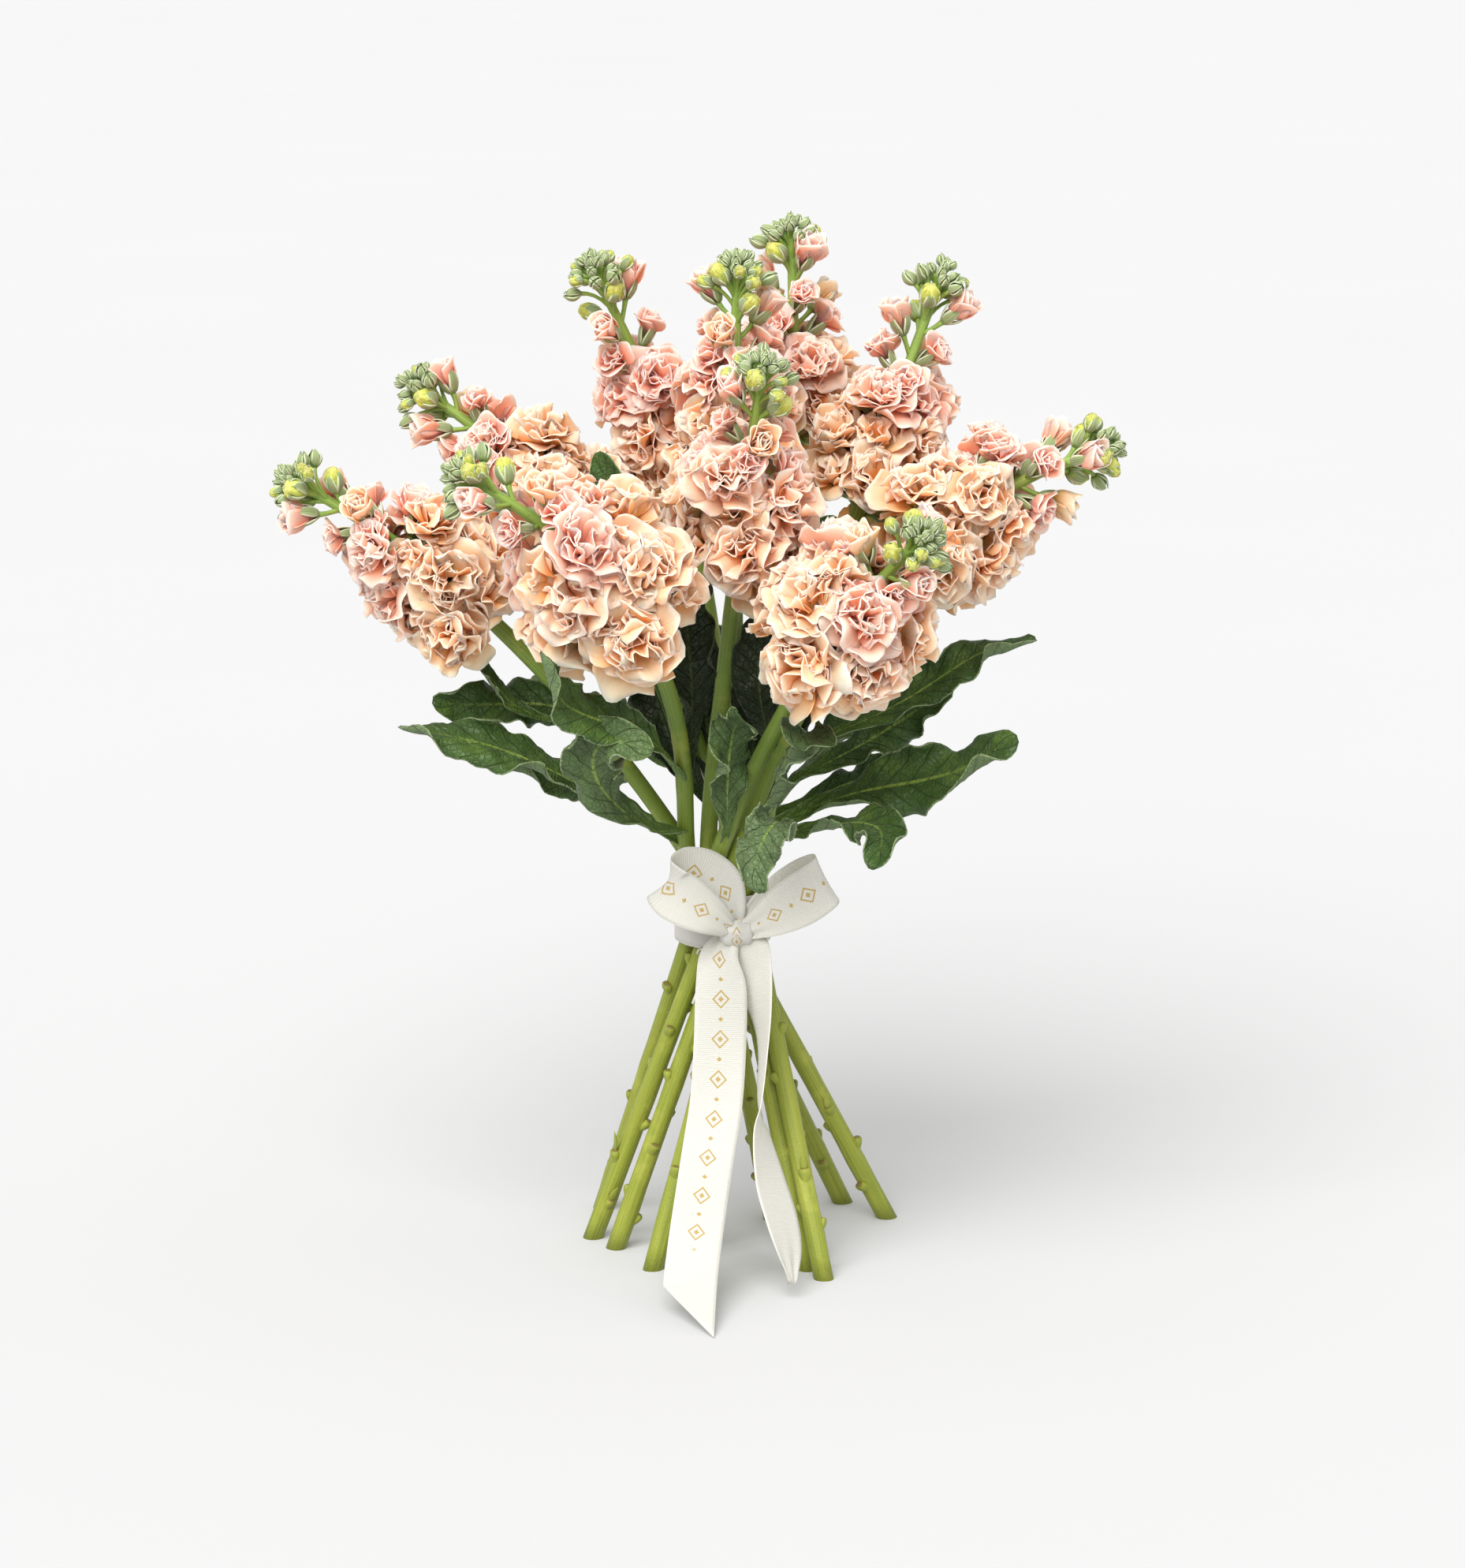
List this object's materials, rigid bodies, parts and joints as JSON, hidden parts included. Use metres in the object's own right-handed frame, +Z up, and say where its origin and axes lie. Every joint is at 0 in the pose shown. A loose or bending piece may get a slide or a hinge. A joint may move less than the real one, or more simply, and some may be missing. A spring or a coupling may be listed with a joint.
{
  "type": "hand-tied bunch of stock flowers",
  "caption": "Hand-tied spiral bunch of double stock flower stems with long leaves, standing on its splayed cut ends and held at the waist by a ribbon band with a bow and long tails.",
  "frame": {"origin": "centre of the bounding box's footprint, on the surface that the cut stem ends stand on", "axes": "+Z up along the bunch, -Y towards the viewer (the side with the bow), +X to the viewer's right"},
  "size_m": [0.4024, 0.2807, 0.4936],
  "materials": {
    "stem": "fresh green plant stem, paler and yellower below the tie, satin",
    "petal": "soft matt peach petals with cream margins and deeper orange-peach folds",
    "leaf": "dark grey-green downy leaf with a pale midrib and a fine pale margin, matt",
    "ribbon": null,
    "string": "off-white twisted binding string"
  },
  "bodies": {
    "root": {"stem_01": "stem", "stem_02": "stem", "stem_03": "stem", "stem_04": "stem", "stem_05": "stem", "stem_06": "stem", "stem_07": "stem", "stem_08": "stem", "stem_09": "stem", "stem_10": "stem", "bloom_01": "petal", "bloom_02": "petal", "bloom_03": "petal", "bloom_04": "petal", "bloom_05": "petal", "bloom_06": "petal", "bloom_07": "petal", "bloom_08": "petal", "bloom_09": "petal", "bloom_10": "petal", "leaf_01": "leaf", "leaf_02": "leaf", "leaf_03": "leaf", "leaf_04": "leaf", "leaf_05": "leaf", "leaf_06": "leaf", "leaf_07": "leaf", "leaf_08": "leaf", "leaf_09": "leaf", "leaf_10": "leaf", "leaf_11": "leaf", "leaf_12": "leaf", "leaf_13": "leaf", "leaf_14": "leaf", "leaf_15": "leaf", "leaf_16": "leaf", "leaf_17": "leaf", "leaf_18": "leaf", "leaf_19": "leaf", "leaf_20": "leaf", "leaf_21": "leaf", "leaf_22": "leaf", "leaf_23": "leaf", "leaf_24": "leaf", "leaf_25": "leaf", "leaf_26": "leaf", "leaf_27": "leaf", "ribbon": "ribbon", "binding": "string"}
  },
  "joints": []
}
